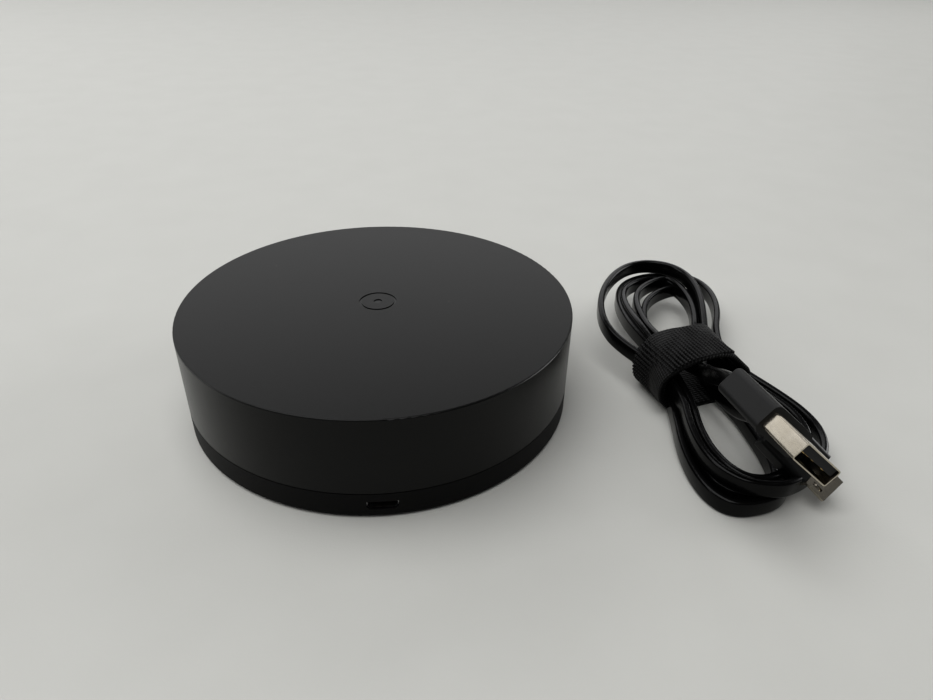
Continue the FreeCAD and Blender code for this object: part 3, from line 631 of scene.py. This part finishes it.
# ---- circuit board and what is soldered on it --------------------------------------------
# A round green laminate on three posts carries the radio module, the processor, the power
# parts at the socket's side and seven infrared emitters that shine out through the shell.
board_green, board_trace = (0.012, 0.075, 0.035), (0.02, 0.14, 0.06)
board_laminate = new_material("board_laminate", board_green, 0.35)
tree = board_laminate.node_tree
TRACK_PITCH, TRACK_RUN, TRACK_WIDTH = 1.1 * MM, 4.0 * MM, 0.18 * MM
tracks = tree.nodes.new("ShaderNodeTexBrick")
tracks.inputs["Scale"].default_value = 1.0
tracks.inputs["Brick Width"].default_value = TRACK_RUN
tracks.inputs["Row Height"].default_value = TRACK_PITCH
tracks.inputs["Mortar Size"].default_value = TRACK_WIDTH
tracks.inputs["Color1"].default_value = (0, 0, 0, 1)
tracks.inputs["Color2"].default_value = (0.3, 0.3, 0.3, 1)
tracks.inputs["Mortar"].default_value = (1, 1, 1, 1)
tree.links.new(object_coordinates(board_laminate), tracks.inputs["Vector"])
vary(board_laminate, tracks.outputs["Color"], "Base Color", board_green, board_trace)
add_bump(board_laminate, tracks.outputs["Fac"], 0.00003)
socket_steel = metal("socket_steel", (0.62, 0.62, 0.63), (0.5, 0.5, 0.5), 0.3, 0.0003, 0.003)
chip_epoxy = moulding("chip_epoxy", (0.014, 0.014, 0.015), (0.022, 0.022, 0.022),
                      0.5, 0.0001, 0.00001)
can_metal = metal("can_metal", (0.70, 0.70, 0.72), (0.60, 0.60, 0.62), 0.28, 0.0004, 0.004)
paint(board_laminate, "main_board", "wifi_module_board")
paint(socket_steel, "usb_socket_shell", "reset_switch_dome")
paint(chip_epoxy, "processor_chip", "voltage_regulator", "emitter_drivers", "board_resistors",
      "power_inductor", "reset_switch_body", "ir_receiver")
paint(can_metal, "wifi_shield_can", "crystal", "bulk_capacitors")
paint(contact_gold, "wifi_antenna", "usb_socket_contacts")
paint(insulator_black, "usb_socket_insulator")
emitter_resin = moulding("emitter_resin", (0.09, 0.08, 0.12), (0.12, 0.11, 0.16),
                         0.12, 0.002, 0.000005)
emitter_names = ["ir_emitter_%d" % k for k in range(1, 7)]
paint(emitter_resin, "ir_emitter_top", "status_led", *emitter_names)

# ---- reset button: the small plunger in the base -----------------------------------------
# A hard nylon stem that stands in the switch, behind a pinhole in the base. A pin pushes it
# up by a quarter of a millimetre, and the switch's dome springs it back.
paint(moulding("button_nylon", (0.05, 0.05, 0.05), (0.07, 0.07, 0.07), 0.4, 0.0003, 0.00001),
      "reset_plunger")

# ---- table and light ---------------------------------------------------------------------
# A pale grey laminate table top under soft studio lights: large ones overhead and behind,
# and one at each side, with nothing bright in front.
TABLE_SIZE = 6.0
table_mesh = bpy.data.meshes.new("table")
half = TABLE_SIZE / 2
table_mesh.from_pydata([(-half, -half, 0), (half, -half, 0), (half, half, 0), (-half, half, 0)],
                       [], [(0, 1, 2, 3)])
table = bpy.data.objects.new("table", table_mesh)
bpy.context.scene.collection.objects.link(table)
table.data.materials.append(moulding("table_laminate", (0.50, 0.50, 0.475), (0.535, 0.535, 0.51),
                                     0.55, 0.0006, 0.00002))


def soft_light(name, place, aim, size, power):
    # A square-cornered soft light at a place, turned to its aim.
    data = bpy.data.lights.new(name, "AREA")
    data.shape = "RECTANGLE"
    data.size, data.size_y = size
    data.energy = power
    light = bpy.data.objects.new(name, data)
    bpy.context.scene.collection.objects.link(light)
    light.location = place
    light.rotation_euler = (Vector(aim) - Vector(place)).to_track_quat("-Z", "Y").to_euler()


soft_light("overhead", (-0.4, -0.1, 1.5), (0.03, 0.1, 0.0), (2.2, 1.8), 25.0)
soft_light("behind", (0.0, 1.6, 0.8), (0.03, 0.25, 0.0), (2.6, 0.9), 8.5)
soft_light("left_side", (-1.3, 0.4, 0.4), (0.0, 0.0, 0.02), (0.9, 0.7), 5.0)
soft_light("right_side", (1.4, 0.4, 0.4), (0.03, 0.0, 0.02), (0.9, 0.7), 6.5)
world = bpy.data.worlds.new("studio")
world.use_nodes = True
studio = world.node_tree
dim = studio.nodes["Background"]
dim.inputs["Color"].default_value = (0.9, 0.91, 0.93, 1.0)
dim.inputs["Strength"].default_value = 0.10
wall = studio.nodes.new("ShaderNodeBackground")      # what is seen past the table's edge
wall.inputs["Color"].default_value = (0.55, 0.55, 0.52, 1.0)
rays, either = studio.nodes.new("ShaderNodeLightPath"), studio.nodes.new("ShaderNodeMixShader")
studio.links.new(rays.outputs["Is Camera Ray"], either.inputs["Fac"])
studio.links.new(dim.outputs["Background"], either.inputs[1])
studio.links.new(wall.outputs["Background"], either.inputs[2])
studio.links.new(either.outputs["Shader"], studio.nodes["World Output"].inputs["Surface"])
bpy.context.scene.world = world
bpy.context.scene.view_settings.view_transform = "Standard"
bpy.context.scene.view_settings.look = "Medium High Contrast"
